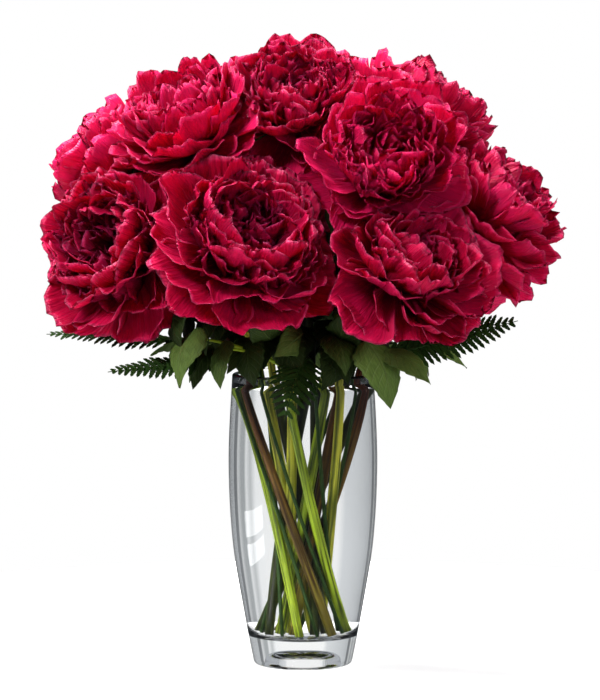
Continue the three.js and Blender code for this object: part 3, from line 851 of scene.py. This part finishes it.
def vase():
    hollow = [
        (HOLLOW_RADIUS * math.sin(a) ** 0.7, HOLLOW_DEPTH * math.cos(a) ** 0.55)
        for a in np.linspace(0, math.pi / 2, HOLLOW_POINTS)
    ]
    foot_edge = [(FOOT_RADIUS - 0.4, 0), (FOOT_RADIUS + 0.2, 0.5), (FOOT_RADIUS + 0.7, 1.6)]
    lip_radius = VASE_WALL / 2
    lip_centre = outside_radius(LIP_START) - lip_radius
    lip = [
        (lip_centre + lip_radius * math.cos(a), LIP_START + LIP_RISE * math.sin(a))
        for a in np.linspace(0, math.pi, LIP_POINTS)[1:-1]
    ]
    profile = [*hollow, *foot_edge, *outside(OUTSIDE_POINTS), *lip, *inside(LIP_START, 0)[::-1]]
    piece = turned("glass_vase", profile, GLASS)
    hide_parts("vase")


def water():
    side = inside(WATER_LEVEL + EDGE_RISE, -WATER_SUNK)
    radius = side[-1][0]
    surface = [
        (radius * x, WATER_LEVEL + EDGE_RISE * math.exp(-(radius * (1 - x)) / EDGE_WIDTH))
        for x in np.linspace(1, 0, SURFACE_POINTS) ** 0.4
    ]
    piece = turned("water_in_vase", [*side, *surface[1:]], WATER)
    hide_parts("water")


# Materials

class Nodes:
    """A node tree, with short calls that add nodes and link them. A colour is three numbers."""

    def __init__(self, tree):
        self.tree = tree

    def feed(self, socket, value):
        """Links a socket's value, or sets it."""
        if isinstance(value, bpy.types.NodeSocket):
            self.tree.links.new(value, socket)
        else:
            socket.default_value = (*value, 1) if socket.type == "RGBA" else value

    def add(self, kind, inputs=None, **settings):
        node = self.tree.nodes.new(kind)
        for key, value in settings.items():
            setattr(node, key, value)
        for key, value in (inputs or {}).items():
            self.feed(node.inputs[key], value)
        return node

    def math(self, operation, a, b=0.0, c=0.0):
        return self.add("ShaderNodeMath", {0: a, 1: b, 2: c}, operation=operation).outputs[0]

    def ramp(self, value, *stops):
        node = self.add("ShaderNodeValToRGB", {"Fac": value})
        elements = node.color_ramp.elements
        while len(elements) < len(stops):
            elements.new(0.5)
        for element, (place, colour) in zip(elements, stops):
            element.position = place
            element.color = (*colour, 1)
        return node.outputs["Color"]

    def mix(self, fac, a, b, blend="MIX"):
        inputs = {0: fac, 6: a, 7: b}
        return self.add("ShaderNodeMix", inputs, data_type="RGBA", blend_type=blend).outputs[2]

    def noise(self, vector, scale, detail=3.0):
        inputs = {"Vector": vector, "Scale": scale, "Detail": detail}
        return self.add("ShaderNodeTexNoise", inputs).outputs["Fac"]

    def streaks(self, *axes, detail=3.0):
        """Noise over the mesh's own numbers, each given with how fast it runs."""
        inputs = {k: self.math("MULTIPLY", value, pace) for k, (value, pace) in enumerate(axes)}
        return self.noise(self.add("ShaderNodeCombineXYZ", inputs).outputs[0], 1.0, detail)


class Material(Nodes):
    """A material, with its shader and its output."""

    def __init__(self, name):
        self.material = bpy.data.materials.new(name)
        self.material.use_nodes = True
        super().__init__(self.material.node_tree)
        self.shader = self.tree.nodes["Principled BSDF"]
        self.output = self.tree.nodes["Material Output"]

    def data(self):
        """The mesh's own numbers: s along, t across, tone and depth, which sets painted shade."""
        node = self.add("ShaderNodeAttribute", attribute_name="data")
        split = self.add("ShaderNodeSeparateColor", {"Color": node.outputs["Color"]})
        return *split.outputs, node.outputs["Alpha"]

    def place(self):
        return self.add("ShaderNodeTexCoord").outputs["Object"]

    def put(self, **values):
        for key, value in values.items():
            self.feed(self.shader.inputs[key.replace("_", " ")], value)

    def bump(self, height, strength, distance):
        inputs = {"Height": height, "Strength": strength, "Distance": distance}
        return self.add("ShaderNodeBump", inputs).outputs[0]

    def show_with(self, other, share):
        """Shows the shader mixed with another one."""
        inputs = {0: share, 1: self.shader.outputs[0], 2: other.outputs[0]}
        both = self.add("ShaderNodeMixShader", inputs)
        self.feed(self.output.inputs["Surface"], both.outputs[0])

    def let_through(self, colour, share, normal):
        """Mixes in light that comes through the blade."""
        inputs = {"Color": colour, "Normal": normal}
        self.show_with(self.add("ShaderNodeBsdfTranslucent", inputs), share)


def petal_material():
    m = Material("petal")
    s, t, tone, depth = m.data()
    veins = m.streaks((t, 34), (s, 1.6), (tone, 40))
    blotch = m.streaks((t, 4), (s, 4), (tone, 90))
    # Along the petal: dark at the root, partly its own colour and partly painted shade where petals
    # meet; the last stops paint a highlight along the tip edge
    along = m.ramp(
        s,
        (0.0, (0.05, 0.0, 0.003)), (0.4, (0.25, 0.0, 0.011)), (0.75, (0.52, 0.001, 0.034)),
        (0.93, (0.70, 0.005, 0.068)), (0.975, (0.80, 0.02, 0.13)), (1.0, (0.95, 0.17, 0.33)),
    )
    creases = m.streaks((t, 60), (s, 7), (tone, 70))
    # Painted highlight: the crease ridges are painted lighter and pinker
    crease_highlight = m.math("MULTIPLY", m.math("SUBTRACT", creases, 0.53), 3.4)
    fresh = m.mix(crease_highlight, along, (0.90, 0.020, 0.125))
    darkness = m.math("MULTIPLY", m.math("SUBTRACT", 0.57, veins), 2.6)
    darker = m.mix(darkness, fresh, (0.19, 0.0, 0.012))
    # Pink blotches by each petal's tone, which carries the head's painted glow as painted light
    pinkness = m.math("MULTIPLY", m.math("MULTIPLY", blotch, tone), 1.1)
    pinker = m.mix(pinkness, darker, (0.88, 0.012, 0.14))
    # Painted highlight: a thin lighter, pinker band along the petal's side edges
    edge = m.math("POWER", m.math("ABSOLUTE", m.math("MULTIPLY_ADD", t, 2.0, -1.0)), 14)
    edge_highlighted = m.mix(m.math("MULTIPLY", edge, 0.45), pinker, (0.90, 0.07, 0.23))
    # Painted shade: the deeper a petal lies in the head, the darker and more purple it is painted
    painted_depth_shade = m.ramp(depth, (0.55, (1, 1, 1)), (0.85, (0.62, 0.5, 0.75)))
    colour = m.mix(1.0, edge_highlighted, painted_depth_shade, "MULTIPLY")
    height = m.math("MULTIPLY_ADD", veins, 0.7, m.math("MULTIPLY", creases, 0.5))
    normal = m.bump(height, 1.0, 0.0026)
    m.put(
        Base_Color=colour, Roughness=0.38, Normal=normal,
        Specular_IOR_Level=0.46, Specular_Tint=(1, 0.4, 0.55),
        Sheen_Weight=0.03, Sheen_Roughness=0.4, Sheen_Tint=(1, 0.2, 0.4),
    )
    m.let_through(m.mix(0.5, colour, (0.95, 0.0, 0.075)), 0.27, normal)
    return m.material


def stem_material(name, low, high, dark):
    """A stem's colour goes from low at its foot to high at its top, in fine streaks with dark."""
    m = Material(name)
    s, t, tone = m.data()[:3]
    lines = m.streaks((t, 5.5), (s, 9), (tone, 30), detail=4.0)
    patches = m.noise(m.place(), 26.0, 2.0)
    rise = m.ramp(m.math("MULTIPLY_ADD", patches, 0.25, s), (0.1, (0, 0, 0)), (0.5, (1, 1, 1)))
    # The dark streaks are partly the stem's own colour and partly painted shade
    darkness = m.ramp(lines, (0.40, (0.95, 0.95, 0.95)), (0.60, (0, 0, 0)))
    colour = m.mix(darkness, m.mix(rise, low, high), dark)
    normal = m.bump(lines, 0.35, 0.0006)
    m.put(Base_Color=colour, Roughness=0.4, Normal=normal, Specular_IOR_Level=0.3)
    return m.material


def leaf_material(name, light, dark, rib):
    m = Material(name)
    s, t, tone, depth = m.data()
    across = m.math("ABSOLUTE", m.math("MULTIPLY_ADD", t, 2.0, -1.0))
    slanted = m.math("MULTIPLY", across, VEIN_SLANT)
    slanted = m.math("SUBTRACT", m.math("MULTIPLY", s, LEAF_VEINS), slanted)
    comb = m.math("COSINE", m.math("MULTIPLY", slanted, 6.2832))
    veins = m.math("POWER", m.math("MAXIMUM", m.math("MULTIPLY", comb, -1.0), 0.0), 8)
    middle = m.math("SUBTRACT", 1.0, m.math("MINIMUM", m.math("MULTIPLY", across, 16.0), 1.0))
    lines = m.math("MAXIMUM", m.math("MULTIPLY", veins, 0.45), middle)
    patches = m.noise(m.place(), 60.0, 4.0)
    grain = m.streaks((s, 9), (t, 46), (tone, 30))
    lightness = m.math("MULTIPLY_ADD", tone, 0.5, m.math("MULTIPLY_ADD", grain, 1.5, -0.45))
    # Painted shade: depth darkens the leaf towards a third of its dark colour
    shaded = m.mix(depth, m.mix(lightness, dark, light), tuple(0.35 * part for part in dark))
    paleness = m.math("MULTIPLY", lines, m.math("MULTIPLY_ADD", depth, -0.5, 0.6))
    colour = m.mix(paleness, shaded, rib)
    relief = m.math("MULTIPLY_ADD", grain, 0.5, m.math("MULTIPLY", patches, 0.3))
    normal = m.bump(m.math("SUBTRACT", relief, lines), 0.7, 0.0012)
    m.put(Base_Color=colour, Roughness=0.45, Normal=normal, Specular_IOR_Level=0.2)
    m.let_through(m.mix(0.5, colour, light), 0.15, normal)
    return m.material


def clear_material(name, ior, tint, density, shade):
    """Clear glass or water. Lamps shine through it on to what stands in it."""
    m = Material(name)
    m.put(Base_Color=(1, 1, 1), Roughness=0.0, IOR=ior, Transmission_Weight=1.0)
    depth = m.add("ShaderNodeVolumeAbsorption", {"Color": tint, "Density": density})
    m.feed(m.output.inputs["Volume"], depth.outputs[0])
    clear = m.add("ShaderNodeBsdfTransparent", {"Color": (shade, shade, shade)})
    m.show_with(clear, m.add("ShaderNodeLightPath").outputs["Is Shadow Ray"])
    return m.material


PETAL = petal_material()
# The dark stems are a darker copy of the others, painted shade for stems further back
STEMS = {name: stem_material("stem_" + name, *colours) for name, colours in {
    "green": ((0.36, 0.48, 0.018), (0.23, 0.33, 0.016), (0.018, 0.032, 0.002)),
    "lime": ((0.52, 0.54, 0.03), (0.50, 0.48, 0.04), (0.07, 0.09, 0.004)),
    "red": ((0.17, 0.15, 0.010), (0.10, 0.012, 0.006), (0.025, 0.007, 0.002)),
    "dark": ((0.038, 0.054, 0.004), (0.020, 0.022, 0.004), (0.006, 0.007, 0.002)),
}.items()}
LEAF = leaf_material("leaf", (0.135, 0.215, 0.045), (0.020, 0.042, 0.008), (0.17, 0.24, 0.07))
FERN = leaf_material("fern", (0.04, 0.10, 0.016), (0.006, 0.020, 0.004), (0.05, 0.11, 0.02))
GLASS = clear_material("clear_glass", 1.48, (0.84, 0.92, 0.92), 2.5, 0.96)
WATER = clear_material("water", 1.33, (0.85, 0.93, 0.95), 1.5, 0.98)


# Camera, floor and light

# The photo's height in pixels and its millimetres a pixel, and the middle of what it shows
PHOTO_HEIGHT = 700
PHOTO_SCALE = 0.782
CAMERA_TARGET = (-2.3, 0, 246)
CAMERA_DISTANCE = 2.2
CAMERA_PITCH = 4
SENSOR_WIDTH = 36

# Each lamp: name, place, what it aims at, size, watts, and the kinds of ray that don't see it
LAMPS = [
    ("top", (-0.5, 0.1, 2.1), (0, 0, 0.35), (1.0, 0.8), 84, ()),
    ("key", (-1.05, -1.45, 1.7), (0, 0, 0.35), (0.4, 0.5), 36, ()),
    ("fill", (1.3, -1.9, 0.7), (0, 0, 0.35), (0.8, 0.8), 13, ("transmission", "glossy")),
    ("rim", (-1.8, 0.6, 1.0), (0, 0, 0.38), (0.5, 1.2), 46, ("transmission", "glossy")),
    ("rim", (1.8, 0.6, 1.0), (0, 0, 0.38), (0.5, 1.2), 31, ("transmission", "glossy")),
    *(("window", (-0.27, -0.06, height), (0, -0.06, height), (0.18, 0.034), 0.11,
       ("camera", "transmission")) for height in (0.018, 0.062)),
]

# The floor's grey as it is seen, and as it lights the part
FLOOR_SEEN = (0.92, 0.92, 0.92)
FLOOR_LIGHTING = (0.52, 0.52, 0.52)
FLOOR_RADIUS = 0.55

# The room's light from front to back, and what gloss sees of it in the open and in the glass
ROOM = [(0.5, (0.13, 0.14, 0.155)), (0.82, (0.70, 0.70, 0.71)), (0.985, (0.58, 0.58, 0.58))]
GLOSS_ROOM = (0.05, 0.055, 0.06)
GLOSS_IN_GLASS = [(0.0, (0.04, 0.045, 0.05)), (0.2, (0.45, 0.47, 0.50))]

# The cards that show through the glass, over each quarter turn, with white in the middle
CARDS = [
    (0.00, (0.22, 0.23, 0.24)), (0.06, (0.24, 0.25, 0.26)), (0.08, (0.76, 0.77, 0.78)),
    (0.13, (0.44, 0.46, 0.47)), (0.17, (0.42, 0.44, 0.45)), (0.19, (0.88, 0.89, 0.90)),
    (0.23, (0.58, 0.60, 0.61)), (0.27, (0.96, 0.97, 0.98)), (0.34, (1, 1, 1)),
    (0.66, (1, 1, 1)), (0.70, (0.73, 0.75, 0.77)), (0.80, (0.66, 0.68, 0.70)),
    (1.00, (0.54, 0.56, 0.58)),
]


def camera():
    pitch = math.radians(CAMERA_PITCH)
    data = bpy.data.cameras.new("camera")
    data.sensor_width = SENSOR_WIDTH
    data.lens = SENSOR_WIDTH * CAMERA_DISTANCE / (PHOTO_HEIGHT * PHOTO_SCALE * MM)
    data.clip_start, data.clip_end = 0.05, 50
    made = bpy.data.objects.new("camera", data)
    back = Vector((0, -math.cos(pitch), math.sin(pitch)))
    made.location = Vector(CAMERA_TARGET) * MM + back * CAMERA_DISTANCE
    made.rotation_euler = (-back).to_track_quat("-Z", "Y").to_euler()
    bpy.context.scene.collection.objects.link(made)
    bpy.context.scene.camera = made


def lamp(name, place, aim, size, power, hidden_from):
    data = bpy.data.lights.new(name, "AREA")
    data.shape = "RECTANGLE"
    data.size, data.size_y = size
    data.energy = power
    made = bpy.data.objects.new(name, data)
    made.location = place
    made.rotation_euler = (Vector(aim) - Vector(place)).to_track_quat("-Z", "Y").to_euler()
    for kind in hidden_from:
        setattr(made, "visible_" + kind, False)
    bpy.context.scene.collection.objects.link(made)


def stage():
    """A pale floor that gloss doesn't see."""
    m = Material("floor")
    ray = m.add("ShaderNodeLightPath").outputs
    grey = m.mix(ray["Is Diffuse Ray"], FLOOR_SEEN, FLOOR_LIGHTING)
    m.put(Base_Color=grey, Roughness=0.7, Specular_IOR_Level=0.1)
    in_gloss = m.math("GREATER_THAN", ray["Glossy Depth"], 0.5)
    m.show_with(m.add("ShaderNodeBsdfTransparent"), in_gloss)
    bpy.ops.mesh.primitive_circle_add(vertices=96, radius=FLOOR_RADIUS, fill_type="NGON")
    floor = bpy.context.object
    floor.name = "floor"
    floor.data.materials.append(m.material)
    floor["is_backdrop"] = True


def studio():
    """A white surround. Gloss sees a dim room, and the glass shows white between grey cards."""
    world = bpy.data.worlds.new("studio")
    world.use_nodes = True
    m = Nodes(world.node_tree)
    heading = m.add("ShaderNodeTexCoord").outputs["Generated"]
    x, y, z = m.add("ShaderNodeSeparateXYZ", {0: heading}).outputs
    room = m.ramp(m.math("MULTIPLY_ADD", y, 0.5, 0.5), *ROOM)
    turns = m.math("MULTIPLY_ADD", m.math("ARCTAN2", y, x), 2 / math.pi, 0.5)
    cards = m.ramp(m.math("FRACT", turns), *CARDS)
    ray = m.add("ShaderNodeLightPath").outputs
    glossy = m.math("GREATER_THAN", ray["Glossy Depth"], 0.5)
    bounces = m.math("ADD", ray["Glossy Depth"], ray["Diffuse Depth"])
    straight = m.math("LESS_THAN", bounces, 0.5)
    through = m.math("MULTIPLY", ray["Is Transmission Ray"], straight)
    in_glass = m.math("GREATER_THAN", ray["Transmission Depth"], 0.5)
    gloss = m.mix(in_glass, GLOSS_ROOM, m.ramp(z, *GLOSS_IN_GLASS))
    colour = m.mix(through, m.mix(glossy, room, gloss), cards)
    colour = m.mix(ray["Is Camera Ray"], colour, (1, 1, 1))
    m.feed(m.tree.nodes["Background"].inputs["Color"], colour)
    bpy.context.scene.world = world


camera()
stage()
studio()
for row in LAMPS:
    lamp(*row)
bpy.context.scene.view_settings.view_transform = "Standard"
vase()
water()
for bloom_name in BLOOMS:
    stem(bloom_name)
    bloom_head(bloom_name)
for frond_name in FRONDS:
    frond(frond_name)

boxes = {"cad": cad_box, "visual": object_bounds()}
{key: [list(corner) for corner in box] for key, box in boxes.items()}
